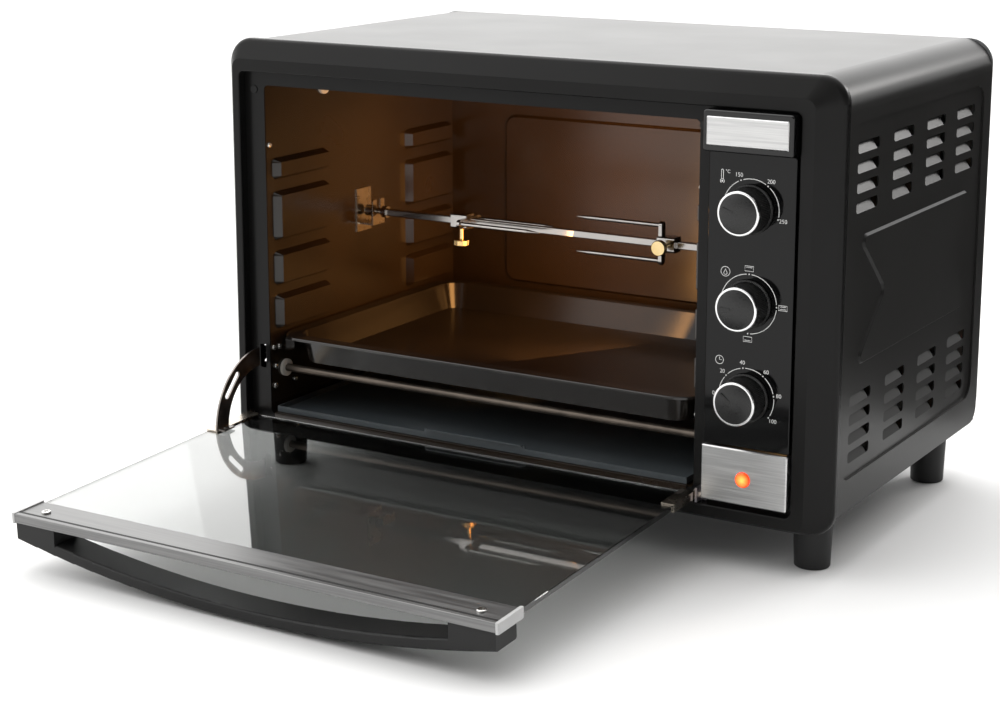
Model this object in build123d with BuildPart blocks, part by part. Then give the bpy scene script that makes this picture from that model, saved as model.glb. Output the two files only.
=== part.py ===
from build123d import *
import math
import os

# Rotisserie oven, millimetres. Origin: centre of the four feet on the surface they stand on.
# +X is to the right seen from the front, -Y is the front, +Z is up. The door rests open.

# ---------------------------------------------------------------- driving dimensions
WIDTH = 550.0  # front frame
FRAME_HEIGHT = 342.0
BODY_DEPTH = 325.0  # frame face to rear panel
FOOT_CLEAR = 34.0  # surface to the frame's lower edge
SHEET = 1.0
SHELL_LOW = 14.0  # shell's lower edge above the frame's
FRAME_REAR = 12.0  # side of the frame, where the shell begins
RECESS_DEPTH = 9.0  # frame face to the door recess floor
RECESS = (-263.4, 242.4, 12.0, 314.6)  # left, right, low, high
CAVITY = (-244.0, 159.0, 21.0, 303.0)  # clear opening: left, right, low, high
CAVITY_FRONT = 10.6
CAVITY_BACK = 300.0
CONTROL_X = 205.5  # axis of the knobs
KNOB_HEIGHTS = (242.0, 171.5, 100.5)
LAMP_HEIGHT = 37.5
SPIT_DEPTH = 150.0
SPIT_HEIGHT = 176.0
TRAY_RIM_HEIGHT = 88.0
ELEMENT_RADIUS = 3.25
LOW_ELEMENTS = ((30.0, 56.0), (262.0, 56.0))  # depth and height of each bar
TOP_ELEMENTS = ((92.0, 294.5), (230.0, 294.5))
FAN_DEPTH = 158.0
FAN_HEIGHT = 250.0
BULB_DEPTH = 158.0
BULB_HEIGHT = 108.0
HINGE_DEPTH = 3.5
HINGE_HEIGHT = 18.0
DOOR_DROOP = 2.2  # degrees below level when open
GLASS = (-260.5, 163.0)  # left and right edges
GLASS_START = 4.0  # from the hinge axis outwards
GLASS_END = 284.0
GLASS_T = 4.0
PIN_RADIUS = 2.5
RUNNING = 0.06  # radial clearance of a turning fit
HANDLE_HALF = 210.5
HANDLE_DROP = 39.0

FRONT_Y = -BODY_DEPTH / 2
os.makedirs("parts", exist_ok=True)


# ---------------------------------------------------------------- placing helpers
def back(y):
    """Row Y of a point that lies y behind the frame's front face."""
    return FRONT_Y + y


def up(z):
    """Row Z of a point z above the frame's lower edge."""
    return FOOT_CLEAR + z


def facing_front(y):
    """Plane y behind the front face, drawn in X and Z, whose normal points to the front."""
    return Plane.XZ.offset(-back(y))


def slab(x, y, z, mode=Mode.ADD):
    """A box between pairs of limits; y is behind the front face and z above the frame's edge."""
    middle = ((x[0] + x[1]) / 2, back((y[0] + y[1]) / 2), up((z[0] + z[1]) / 2))
    with Locations(middle):
        Box(x[1] - x[0], y[1] - y[0], z[1] - z[0], mode=mode)


def panel(left, right, low, high, corner):
    """A rounded rectangle sketch between limits; heights are above the frame's lower edge."""
    with Locations(((left + right) / 2, up((low + high) / 2))):
        RectangleRounded(right - left, high - low, corner)


def side_panel(near, far, low, high, corner, mode=Mode.ADD):
    """A rounded rectangle on a side wall, from near to far behind the front face."""
    with Locations((back((near + far) / 2), up((low + high) / 2))):
        RectangleRounded(far - near, high - low, corner, mode=mode)


def round_bar(plane, radius, length, mode=Mode.ADD):
    """A cylinder that starts on a plane and runs along its normal."""
    with BuildSketch(plane) as section:
        Circle(radius)
    extrude(section.sketch, amount=length, mode=mode)


def along_x(x, y, z):
    """Plane at a point, its normal towards +X."""
    return Plane(origin=(x, back(y), up(z)), x_dir=(0, 1, 0), z_dir=(1, 0, 0))


def along_front(x, y, z):
    """Plane at a point, its normal towards the front."""
    return Plane(origin=(x, back(y), up(z)), x_dir=(1, 0, 0), z_dir=(0, -1, 0))


droop = math.radians(DOOR_DROOP)
hinge_point = (0, back(HINGE_DEPTH), up(HINGE_HEIGHT))
# the door's own plane: local X is across, local -Y runs outwards, the normal is the inner side
DOOR = Plane(
    origin=hinge_point, x_dir=(1, 0, 0), z_dir=(0, -math.sin(droop), math.cos(droop))
)


def door_block(x, outwards, side, mode=Mode.ADD, corner=0.0):
    """A block on the door: limits across, outwards from the hinge axis, and along its normal."""
    with BuildSketch(DOOR.offset(side[0])) as outline:
        with Locations(((x[0] + x[1]) / 2, -(outwards[0] + outwards[1]) / 2)):
            if corner:
                RectangleRounded(x[1] - x[0], outwards[1] - outwards[0], corner)
            else:
                Rectangle(x[1] - x[0], outwards[1] - outwards[0])
    extrude(outline.sketch, amount=side[1] - side[0], mode=mode)


def door_edge_plane(outwards):
    """Plane across the door at a distance from the hinge: local X across, local Y its normal."""
    origin = DOOR.from_local_coords((0, -outwards, 0))
    return Plane(origin=origin, x_dir=(1, 0, 0), z_dir=-DOOR.y_dir)


def door_axis_plane(x):
    """Plane square to the hinge axis: local X runs outwards along the door."""
    return Plane(
        origin=(x, back(HINGE_DEPTH), up(HINGE_HEIGHT)), x_dir=-DOOR.y_dir, z_dir=(-1, 0, 0)
    )


# ---------------------------------------------------------------- outer shell
LOUVRE_ROWS = [287.0, 272.4, 257.7, 243.0, 97.5, 83.0, 68.6, 54.2]
LOUVRE_COLUMNS = [57.0, 128.5, 199.5, 268.5]
LOUVRE_LENGTH = 42.0
LOUVRE_HEIGHT = 8.6
PANEL_SINK = 2.0
shell_width = WIDTH - 2
shell_top = FRAME_HEIGHT - 1
bow_tie = [(40, 221.5), (288, 221.5), (234, 173), (288, 123), (40, 123), (95, 173)]


def bow_tie_sketch(inset):
    """The six-cornered pressing on a side wall."""
    shape = Polygon(*[(back(y), up(z)) for y, z in bow_tie], align=None)
    fillet(shape.vertices(), 6)
    if inset:
        offset(amount=-inset, mode=Mode.REPLACE)


def louvre_tongues(side):
    """Lanced tongues, each hinged on its lower edge and leaning into the casing, closed in front."""
    face = side * (shell_width / 2 - PANEL_SINK)
    low, high = -LOUVRE_HEIGHT / 2, LOUVRE_HEIGHT / 2
    with BuildPart() as tongues:
        with BuildSketch(facing_front(LOUVRE_LENGTH - 5)) as sections:
            for row in LOUVRE_ROWS:
                Polygon(
                    (face, up(row + low - 1)),
                    (face, up(row + low)),
                    (face - side * 4.6, up(row + high - 1.6)),
                    (face - side * 5.6, up(row + high - 2.4)),
                    (face - side * SHEET, up(row + low - 1)),
                    align=None,
                )
        extrude(sections.sketch, amount=LOUVRE_LENGTH - 5)
        with BuildSketch(facing_front(1.2)) as caps:
            for row in LOUVRE_ROWS:
                Polygon(
                    (face - side * 0.4, up(row + low - 0.5)),
                    (face - side * 0.4, up(row + high - 2.5)),
                    (face - side * 5.2, up(row + high - 2.0)),
                    align=None,
                )
        extrude(caps.sketch, amount=1.2)
    return tongues.part


with BuildPart() as outer_shell:
    with BuildSketch(facing_front(BODY_DEPTH - SHEET)):
        # an upside-down U: a rounded outline less its inside, cut off at the lower edge
        panel(-shell_width / 2, shell_width / 2, SHELL_LOW - 40, shell_top, 26)
        with Locations((0, up((shell_top + SHELL_LOW - 40) / 2 - SHEET / 2))):
            RectangleRounded(
                shell_width - 2 * SHEET, shell_top - SHELL_LOW + 40 - SHEET, 25, mode=Mode.SUBTRACT
            )
        with Locations((0, up(SHELL_LOW - 40))):
            Rectangle(WIDTH, 80, mode=Mode.SUBTRACT)
    extrude(amount=BODY_DEPTH - SHEET - FRAME_REAR - 1)
    # the two lower rear corners are rounded off
    rear_low = outer_shell.edges().filter_by(Axis.X).filter_by(
        lambda e: e.center().Y > 0 and e.center().Z < up(SHELL_LOW) + 1
    )
    fillet(rear_low, 14)
    for side in (-1, 1):
        outside = Plane.YZ.offset(side * shell_width / 2)
        inward = -side
        # sunk panel with its step, then the bow tie brought back out
        with BuildSketch(outside.offset(inward * SHEET * 0.9)):
            side_panel(18, 308, 38, 306.7, 16)
        extrude(amount=inward * (PANEL_SINK + SHEET * 0.1))
        with BuildSketch(outside):
            side_panel(19, 307, 39, 305.7, 15)
        extrude(amount=inward * PANEL_SINK, mode=Mode.SUBTRACT)
        with BuildSketch(outside.offset(inward * PANEL_SINK)):
            bow_tie_sketch(0)
        extrude(amount=side * PANEL_SINK, taper=38)
        with BuildSketch(outside.offset(inward * (PANEL_SINK + SHEET))):
            bow_tie_sketch(1.0)
        extrude(amount=side * PANEL_SINK, taper=38, mode=Mode.SUBTRACT)
        with BuildSketch(outside.offset(inward * (PANEL_SINK + SHEET))):
            for column in LOUVRE_COLUMNS:
                for row in LOUVRE_ROWS:
                    with Locations((back(column), up(row))):
                        RectangleRounded(LOUVRE_LENGTH, LOUVRE_HEIGHT, 3)
        extrude(amount=side * (PANEL_SINK + SHEET), mode=Mode.SUBTRACT)
        tongue_set = louvre_tongues(side)
        with Locations(*[(0, column - LOUVRE_LENGTH / 2, 0) for column in LOUVRE_COLUMNS]):
            add(tongue_set)
outer_shell.part.label = "outer_shell"
export_step(outer_shell.part, "parts/outer_shell.step")

# ---------------------------------------------------------------- front frame
RIDGE = (-270.0, 253.0, 3.0, 325.0)  # flat border of the frame: left, right, low, high

SLOPE_DEPTH = 5.0
NECK = 5.5  # reach of the neck that the shell slides over

with BuildPart() as front_frame:
    # the rim slopes back from the flat border to the outer edge
    with BuildSketch(facing_front(FRAME_REAR)):
        panel(-WIDTH / 2, WIDTH / 2, 0, FRAME_HEIGHT, 20)
    extrude(amount=FRAME_REAR - SLOPE_DEPTH)
    with BuildSketch(facing_front(SLOPE_DEPTH)):
        panel(-WIDTH / 2, WIDTH / 2, 0, FRAME_HEIGHT, 20)
    with BuildSketch(facing_front(0)):
        panel(*RIDGE, 8)
    loft()
    slope_edges = front_frame.edges().filter_by(lambda e: abs(e.center().Y - back(SLOPE_DEPTH)) < 0.01)
    fillet(slope_edges, 4.5)
    fillet(front_frame.faces().sort_by(Axis.Y)[0].edges(), 1.2)
    # hollow behind, leaving a wall all round and a neck that the shell slides over
    with BuildSketch(facing_front(FRAME_REAR)):
        panel(-WIDTH / 2 + 3, WIDTH / 2 - 3, 3, FRAME_HEIGHT - 3, 17)
    extrude(amount=FRAME_REAR - SLOPE_DEPTH - 2, mode=Mode.SUBTRACT)
    with BuildSketch(facing_front(FRAME_REAR + NECK)) as neck:
        panel(-WIDTH / 2 + 3, WIDTH / 2 - 3, SHELL_LOW + 2, FRAME_HEIGHT - 3, 22)
        offset(amount=-2.2, mode=Mode.SUBTRACT)
    extrude(amount=FRAME_REAR + NECK - SLOPE_DEPTH - 1)
    # the recess that the door closes into, with a rounded mouth
    with BuildSketch(facing_front(RECESS_DEPTH + 1.6)):
        panel(RECESS[0] - 1.6, RECESS[1] + 1.6, RECESS[2] - 1.6, RECESS[3] + 1.6, 6)
    extrude(amount=RECESS_DEPTH)
    with BuildSketch(facing_front(RECESS_DEPTH)):
        panel(*RECESS, 5)
    extrude(amount=RECESS_DEPTH + 1, mode=Mode.SUBTRACT)
    mouth = front_frame.faces().sort_by(Axis.Y)[0].inner_wires()
    fillet(mouth[0].edges(), 1.2)
    # openings: cavity, control bay, and the slot for the stay arm
    with BuildSketch(facing_front(RECESS_DEPTH + 5)):
        panel(CAVITY[0], CAVITY[1], CAVITY[2] - 1.2, CAVITY[3], 4)
        panel(178, 235, 24, 300, 3)
        panel(-254.4, -248.2, HINGE_HEIGHT + 41.5, HINGE_HEIGHT + 62, 1)
    extrude(amount=RECESS_DEPTH + 5, mode=Mode.SUBTRACT)
    # hole for the left hinge pin
    round_bar(along_x(-269, HINGE_DEPTH, HINGE_HEIGHT), PIN_RADIUS, 8, Mode.SUBTRACT)
front_frame.part.label = "front_frame"
export_step(front_frame.part, "parts/front_frame.step")

# ---------------------------------------------------------------- cavity
PAD_RANGES = [(221.5, 240.0), (169.0, 211.5), (130.0, 160.0), (92.2, 122.0), (69.0, 83.8)]
PAD_COLUMNS = [(18.0, 94.0), (218.0, 292.0)]
LOW_PAD_START = 31.0  # the lowest front pad is cut short by the screws
PAD_RISE = 7.0
WALL_SCREWS = [(14, 252), (14, 77), (21.5, 76.5), (16.5, 60), (15, 43), (43, 43)]
SCREW_HOLE = 1.6


def rack_guides(x, side, shrink, mode):
    """Raised pads on a cavity wall; the gaps between them are the tray grooves."""
    with BuildSketch(Plane.YZ.offset(x)) as pads:
        for near, far in PAD_COLUMNS:
            for low, high in PAD_RANGES:
                first = max(near, LOW_PAD_START) if low == PAD_RANGES[-1][0] else near
                side_panel(first + shrink, far - shrink, low + shrink, high - shrink, 4 - shrink)
    extrude(pads.sketch, amount=side * PAD_RISE, taper=25, mode=mode)


def cavity_side(x, side):
    """One side wall; side is the way into the cavity."""
    inner = Plane.YZ.offset(x)
    with BuildPart() as wall:
        with BuildSketch(inner):
            side_panel(CAVITY_FRONT, CAVITY_BACK, CAVITY[2] - 0.8, CAVITY[3] + 0.8, 1)
        extrude(amount=-side * SHEET)
        rack_guides(x, side, 0, Mode.ADD)
        rack_guides(x - side * SHEET, side, 1.0, Mode.SUBTRACT)
        with BuildSketch(inner) as holes:
            for y, z in WALL_SCREWS:
                with Locations((back(y), up(z))):
                    Circle(SCREW_HOLE)
            for y, z in LOW_ELEMENTS + TOP_ELEMENTS:
                with Locations((back(y), up(z))):
                    Circle(ELEMENT_RADIUS + 2.6)
        extrude(holes.sketch, amount=-side * SHEET, mode=Mode.SUBTRACT)
    return wall.part


with BuildPart() as cavity_left_wall:
    add(cavity_side(CAVITY[0], 1))
cavity_left_wall.part.label = "cavity_left_wall"
export_step(cavity_left_wall.part, "parts/cavity_left_wall.step")

DRIVE_HOLE = 9.0
GRILLE_RADIUS = 44.0
FAN_HOLE = 38.0
BULB_HOLE = 15.0
with BuildPart() as cavity_right_wall:
    add(cavity_side(CAVITY[1], -1))
    for y, z, radius in (
        (SPIT_DEPTH, SPIT_HEIGHT, DRIVE_HOLE),
        (FAN_DEPTH, FAN_HEIGHT, FAN_HOLE),
        (BULB_DEPTH, BULB_HEIGHT, BULB_HOLE),
    ):
        round_bar(along_x(CAVITY[1] - 1, y, z), radius, 3, Mode.SUBTRACT)
cavity_right_wall.part.label = "cavity_right_wall"
export_step(cavity_right_wall.part, "parts/cavity_right_wall.step")

with BuildPart() as cavity_ceiling:
    slab(
        (CAVITY[0] - SHEET, CAVITY[1] + SHEET),
        (CAVITY_FRONT, CAVITY_BACK),
        (CAVITY[3] + 0.8, CAVITY[3] + 0.8 + SHEET),
    )
    # two stiffening ribs pressed downwards
    for y in (100, 200):
        with Locations((-42, back(y), up(CAVITY[3] + 0.8))):
            Box(300, 10, 1.2, align=(Align.CENTER, Align.CENTER, Align.MAX))
cavity_ceiling.part.label = "cavity_ceiling"
export_step(cavity_ceiling.part, "parts/cavity_ceiling.step")

with BuildPart() as cavity_back:
    with BuildSketch(facing_front(CAVITY_BACK + SHEET)):
        panel(CAVITY[0] - SHEET, CAVITY[1] + SHEET, CAVITY[2] - 0.8, CAVITY[3] + 1.8, 1)
    extrude(amount=SHEET)
    # a large shallow pressing in the middle
    with BuildSketch(facing_front(CAVITY_BACK)):
        panel(CAVITY[0] + 60, CAVITY[1] - 60, 90, 250, 12)
    extrude(amount=3, taper=40)
cavity_back.part.label = "cavity_back"
export_step(cavity_back.part, "parts/cavity_back.step")

with BuildPart() as cavity_floor:
    slab(
        (CAVITY[0] - SHEET, CAVITY[1] + SHEET),
        (CAVITY_FRONT, CAVITY_BACK),
        (CAVITY[2] - 0.8 - SHEET, CAVITY[2] - 0.8),
    )
    # front flange folded down over the frame's recess floor
    slab((-240, 153), (8.4, CAVITY_FRONT), (CAVITY[2] - 0.8, CAVITY[2]))
    slab((-240, 153), (CAVITY_FRONT - 1, CAVITY_FRONT + 1), (CAVITY[2] - 1.0, CAVITY[2]))
    slab((-240, 153), (8.4, RECESS_DEPTH), (13.5, CAVITY[2]))
cavity_floor.part.label = "cavity_floor"
export_step(cavity_floor.part, "parts/cavity_floor.step")


def pan_head(plane, radius, height, shank, length):
    """A domed cross-recess screw head standing on a plane with its shank behind it."""
    with BuildPart() as screw:
        with BuildSketch(plane) as head:
            Circle(radius)
        extrude(head.sketch, amount=height)
        circles = screw.edges().filter_by(GeomType.CIRCLE)
        fillet(circles.sort_by(Axis(plane.origin, plane.z_dir))[-1], height * 0.6)
        with BuildSketch(plane.offset(height)) as cross:
            Rectangle(radius * 1.1, radius * 0.28)
            Rectangle(radius * 0.28, radius * 1.1)
        extrude(cross.sketch, amount=-height * 0.55, mode=Mode.SUBTRACT)
        with BuildSketch(plane) as stem:
            Circle(shank)
        extrude(stem.sketch, amount=-length)
    return screw.part


# ---------------------------------------------------------------- heating elements
ELEMENT_ENDS = (CAVITY[0] - 3, CAVITY[1] + 8)
element_places = LOW_ELEMENTS + TOP_ELEMENTS
with BuildPart() as heating_elements:
    for y, z in element_places:
        round_bar(along_x(ELEMENT_ENDS[0], y, z), ELEMENT_RADIUS, ELEMENT_ENDS[1] - ELEMENT_ENDS[0])
        # terminal studs, both at the control end
        for stud in (-2.2, 2.2):
            round_bar(along_x(ELEMENT_ENDS[1] - 1, y + stud, z), 1.2, 8)
heating_elements.part.label = "heating_elements"
export_step(heating_elements.part, "parts/heating_elements.step")

with BuildPart() as element_insulators:
    for y, z in element_places:
        for x, side, sleeve in ((CAVITY[0], 1, 4.0), (CAVITY[1], -1, 7.0)):
            seat = Plane(origin=(x, back(y), up(z)), x_dir=(0, 1, 0), z_dir=(side, 0, 0))
            round_bar(seat, ELEMENT_RADIUS + 4.2, 2.4)
            round_bar(seat, ELEMENT_RADIUS + 2.5, -sleeve)
            round_bar(seat.offset(-8), ELEMENT_RADIUS + 0.05, 12, Mode.SUBTRACT)
element_insulators.part.label = "element_insulators"
export_step(element_insulators.part, "parts/element_insulators.step")

# ---------------------------------------------------------------- spit, forks and drive
SPIT_SIDE = 6.0
SPIT_LEFT = CAVITY[0] + 9
SOCKET_FACE = CAVITY[1] - 8
SPIT_RIGHT = SOCKET_FACE + 14
NECK_RADIUS = 2.5

with BuildPart() as spit_rest:
    # a strip folded out of the left wall, with an open notch for the spit's end
    slab((CAVITY[0], CAVITY[0] + 1.2), (139, 161), (157, 196))
    slab((CAVITY[0], CAVITY[0] + 17), (141, 159), (164.2, 165.4))
    with BuildSketch(Plane.YZ.offset(CAVITY[0] + 15.8)):
        side_panel(141, 159, 164.2, 187, 1.5)
        with Locations((back(SPIT_DEPTH), up(SPIT_HEIGHT))):
            Circle(NECK_RADIUS + 0.35, mode=Mode.SUBTRACT)
        with Locations((back(SPIT_DEPTH), up(SPIT_HEIGHT + 8))):
            Rectangle(2 * NECK_RADIUS + 0.7, 16, mode=Mode.SUBTRACT)
    extrude(amount=1.2)
spit_rest.part.label = "spit_rest"
export_step(spit_rest.part, "parts/spit_rest.step")

with BuildPart() as spit_rod:
    with BuildSketch(along_x(SPIT_LEFT + 18, SPIT_DEPTH, SPIT_HEIGHT)):
        RectangleRounded(SPIT_SIDE, SPIT_SIDE, 0.8)
    extrude(amount=SPIT_RIGHT - SPIT_LEFT - 18)
    # round neck that lies in the rest, with a turned end knob either side of it
    round_bar(along_x(SPIT_LEFT, SPIT_DEPTH, SPIT_HEIGHT), NECK_RADIUS, 19)
    round_bar(along_x(SPIT_LEFT - 6, SPIT_DEPTH, SPIT_HEIGHT), 5.0, 9)
    round_bar(along_x(SPIT_LEFT + 13, SPIT_DEPTH, SPIT_HEIGHT), 5.2, 5)
    ends = spit_rod.edges().filter_by(GeomType.CIRCLE)
    fillet(ends.sort_by(Axis.X)[0], 2.5)
    chamfer(spit_rod.faces().sort_by(Axis.X)[-1].edges(), 0.5)
spit_rod.part.label = "spit_rod"
export_step(spit_rod.part, "parts/spit_rod.step")

with BuildPart() as drive_socket:
    round_bar(along_x(SOCKET_FACE, SPIT_DEPTH, SPIT_HEIGHT), 8.0, 24)
    chamfer(drive_socket.faces().sort_by(Axis.X)[0].edges(), 1)
    with BuildSketch(along_x(SOCKET_FACE, SPIT_DEPTH, SPIT_HEIGHT)):
        Rectangle(SPIT_SIDE + 0.4, SPIT_SIDE + 0.4)
    extrude(amount=16, mode=Mode.SUBTRACT)
    # shaft from the socket into the gear motor
    round_bar(along_x(SOCKET_FACE + 23, SPIT_DEPTH, SPIT_HEIGHT), 3.0, 12)
drive_socket.part.label = "drive_socket"
export_step(drive_socket.part, "parts/drive_socket.step")

MOTOR_FACE = SOCKET_FACE + 25
with BuildPart() as rotisserie_motor:
    slab(
        (MOTOR_FACE, MOTOR_FACE + 24),
        (SPIT_DEPTH - 24, SPIT_DEPTH + 24),
        (SPIT_HEIGHT - 24, SPIT_HEIGHT + 24),
    )
    fillet(rotisserie_motor.edges().filter_by(Axis.X), 6)
    flange_depths = (SPIT_DEPTH - 33, SPIT_DEPTH + 33)
    slab((MOTOR_FACE, MOTOR_FACE + 1.5), flange_depths, (SPIT_HEIGHT - 8, SPIT_HEIGHT + 8))
    round_bar(along_x(MOTOR_FACE - 1, SPIT_DEPTH, SPIT_HEIGHT), 3.0 + RUNNING, 13, Mode.SUBTRACT)
rotisserie_motor.part.label = "rotisserie_motor"
export_step(rotisserie_motor.part, "parts/rotisserie_motor.step")

TINE_SPREAD = 15.0
TINE_LENGTH = 80.0
TINE_RADIUS = 1.9
FORK_WIDTH = 16.0
fork_places = {"left": (-138.0, 1, 0.0), "right": (64.0, -1, 90.0)}
for hand, (x, side, turn) in fork_places.items():
    # the fork's own plane: normal along the tines, turned about the spit
    tilt = math.radians(turn)
    fork_plane = Plane(
        origin=(x, back(SPIT_DEPTH), up(SPIT_HEIGHT)),
        x_dir=(0, math.cos(tilt), math.sin(tilt)),
        z_dir=(side, 0, 0),
    )
    with BuildPart() as fork:
        # hub block on the square spit
        with BuildSketch(fork_plane.offset(-FORK_WIDTH / 2)):
            RectangleRounded(13, 13, 2)
            Rectangle(SPIT_SIDE + 0.3, SPIT_SIDE + 0.3, mode=Mode.SUBTRACT)
        extrude(amount=FORK_WIDTH)
        # cross strip that carries the tines
        with BuildSketch(fork_plane.offset(FORK_WIDTH / 2 - 3)):
            SlotOverall(2 * TINE_SPREAD + 7, 7)
            Rectangle(SPIT_SIDE + 0.3, SPIT_SIDE + 0.3, mode=Mode.SUBTRACT)
        extrude(amount=3)
        for offset_y in (-TINE_SPREAD, TINE_SPREAD):
            start = Plane(
                origin=fork_plane.from_local_coords((offset_y, 0, FORK_WIDTH / 2 - 1)),
                x_dir=fork_plane.x_dir,
                z_dir=fork_plane.z_dir,
            )
            round_bar(start, TINE_RADIUS, TINE_LENGTH - 12)
            with BuildSketch(start.offset(TINE_LENGTH - 12)) as shoulder:
                Circle(TINE_RADIUS)
            with BuildSketch(start.offset(TINE_LENGTH)) as point:
                Circle(0.35)
            loft([shoulder.sketch.face(), point.sketch.face()])
        # threaded cross hole for the thumbscrew
        hole = Plane(
            origin=fork_plane.from_local_coords((0, -13, -1)),
            x_dir=fork_plane.z_dir,
            z_dir=fork_plane.y_dir,
        )
        round_bar(hole, 2.0 + RUNNING, 10.5, Mode.SUBTRACT)
    name = f"{hand}_fork"
    fork.part.label = name
    export_step(fork.part, f"parts/{name}.step")

    with BuildPart() as thumbscrew:
        round_bar(hole.offset(-4), 2.0, 13.2)
        # flat knurled head
        round_bar(hole.offset(-9), 6.5, 5)
        chamfer(thumbscrew.edges().filter_by(GeomType.CIRCLE).filter_by(lambda e: e.radius > 6), 0.6)
        notch = hole.offset(-9)
        with BuildSketch(notch) as knurls:
            with PolarLocations(6.6, 24):
                Circle(0.35)
        extrude(knurls.sketch, amount=5, mode=Mode.SUBTRACT)
    name = f"{hand}_thumbscrew"
    thumbscrew.part.label = name
    export_step(thumbscrew.part, f"parts/{name}.step")

# ---------------------------------------------------------------- trays
TRAY = (-242.4, 157.4)
TRAY_FRONT = 13.0
TRAY_BACK = 286.0
TRAY_DEEP = 24.0
TRAY_WALL = 0.9
BEAD_WIDTH = 2.4


def tray_outline(inset, corner, mode=Mode.ADD):
    """The baking tray's rounded outline, drawn inset from its rim."""
    width = TRAY[1] - TRAY[0] - 2 * inset
    length = TRAY_BACK - TRAY_FRONT - 2 * inset
    with Locations(((TRAY[0] + TRAY[1]) / 2, back((TRAY_FRONT + TRAY_BACK) / 2))):
        RectangleRounded(width, length, corner, mode=mode)


with BuildPart() as baking_tray:
    top = Plane.XY.offset(up(TRAY_RIM_HEIGHT))
    with BuildSketch(top):
        tray_outline(0, 26)
    extrude(amount=-TRAY_WALL)
    with BuildSketch(top.offset(-TRAY_WALL)):
        tray_outline(11, 20)
    extrude(amount=-(TRAY_DEEP - TRAY_WALL), taper=14)
    with BuildSketch(top):
        tray_outline(12, 19)
    extrude(amount=-(TRAY_DEEP - TRAY_WALL), taper=14, mode=Mode.SUBTRACT)
    # rolled bead around the rim
    with BuildSketch(top.offset(-TRAY_WALL - 1.5)):
        tray_outline(0, 26)
        tray_outline(BEAD_WIDTH, 26 - BEAD_WIDTH, Mode.SUBTRACT)
    extrude(amount=TRAY_WALL + 1.5)
    rim_edges = baking_tray.faces().filter_by(Plane.XY).sort_by(Axis.Z)[-1].outer_wire().edges()
    fillet(rim_edges, 1.0)
baking_tray.part.label = "baking_tray"
export_step(baking_tray.part, "parts/baking_tray.step")

CRUMB = (-239.0, 152.0)
CRUMB_LOW = CAVITY[2] + 0.4
with BuildPart() as crumb_tray:
    slab(CRUMB, (11.5, 288), (CRUMB_LOW, CRUMB_LOW + SHEET))
    slab(CRUMB, (11.5, 12.5), (CRUMB_LOW, CRUMB_LOW + 5))
    slab((-88, 8), (11.5, 12.5), (CRUMB_LOW, CRUMB_LOW + 8))
    slab(CRUMB, (287, 288), (CRUMB_LOW, CRUMB_LOW + 5))
    slab((CRUMB[0], CRUMB[0] + SHEET), (11.5, 288), (CRUMB_LOW, CRUMB_LOW + 5))
    slab((CRUMB[1] - SHEET, CRUMB[1]), (11.5, 288), (CRUMB_LOW, CRUMB_LOW + 5))
    # pull lip folded forward from the raised middle
    slab((-86, 6), (9.2, 12.5), (CRUMB_LOW + 7, CRUMB_LOW + 8))
crumb_tray.part.label = "crumb_tray"
export_step(crumb_tray.part, "parts/crumb_tray.step")

# ---------------------------------------------------------------- controls
FASCIA_FRONT = -1.0
FASCIA = (171.5, 240.5, 61.5, 282.5)
with BuildPart() as control_fascia:
    with BuildSketch(facing_front(FASCIA_FRONT + 4)):
        panel(*FASCIA, 1.5)
        for z in KNOB_HEIGHTS:
            with Locations((CONTROL_X, up(z))):
                Circle(4.2, mode=Mode.SUBTRACT)
    extrude(amount=4)
    chamfer(control_fascia.faces().sort_by(Axis.Y)[0].outer_wire().edges(), 0.5)
    # locating ribs that reach the recess floor
    for z in (70, 135, 206, 274):
        slab((FASCIA[0] + 2, FASCIA[0] + 4), (FASCIA_FRONT + 3.5, RECESS_DEPTH), (z - 3, z + 3))
        slab((FASCIA[1] - 3, FASCIA[1] - 1.2), (FASCIA_FRONT + 3.5, RECESS_DEPTH), (z - 3, z + 3))
control_fascia.part.label = "control_fascia"
export_step(control_fascia.part, "parts/control_fascia.step")

BLOCK = (169.0, 240.5, 283.0, 313.5)
BLOCK_FRONT = -8.0
with BuildPart() as upper_block:
    with BuildSketch(facing_front(RECESS_DEPTH)):
        panel(*BLOCK, 2.5)
    extrude(amount=RECESS_DEPTH - BLOCK_FRONT)
    fillet(upper_block.faces().sort_by(Axis.Y)[0].edges(), 1.4)
    # shallow seat for the plate
    with BuildSketch(facing_front(BLOCK_FRONT)):
        panel(BLOCK[0] + 3.0, BLOCK[1] - 3.5, BLOCK[2] + 4.5, BLOCK[3] - 4.5, 1)
    extrude(amount=-1.0, mode=Mode.SUBTRACT)
upper_block.part.label = "upper_block"
export_step(upper_block.part, "parts/upper_block.step")

with BuildPart() as upper_plate:
    with BuildSketch(facing_front(BLOCK_FRONT + 1)):
        panel(BLOCK[0] + 3.1, BLOCK[1] - 3.6, BLOCK[2] + 4.6, BLOCK[3] - 4.6, 0.9)
    extrude(amount=1.9)
    chamfer(upper_plate.faces().sort_by(Axis.Y)[0].edges(), 0.7)
upper_plate.part.label = "upper_plate"
export_step(upper_plate.part, "parts/upper_plate.step")

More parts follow.
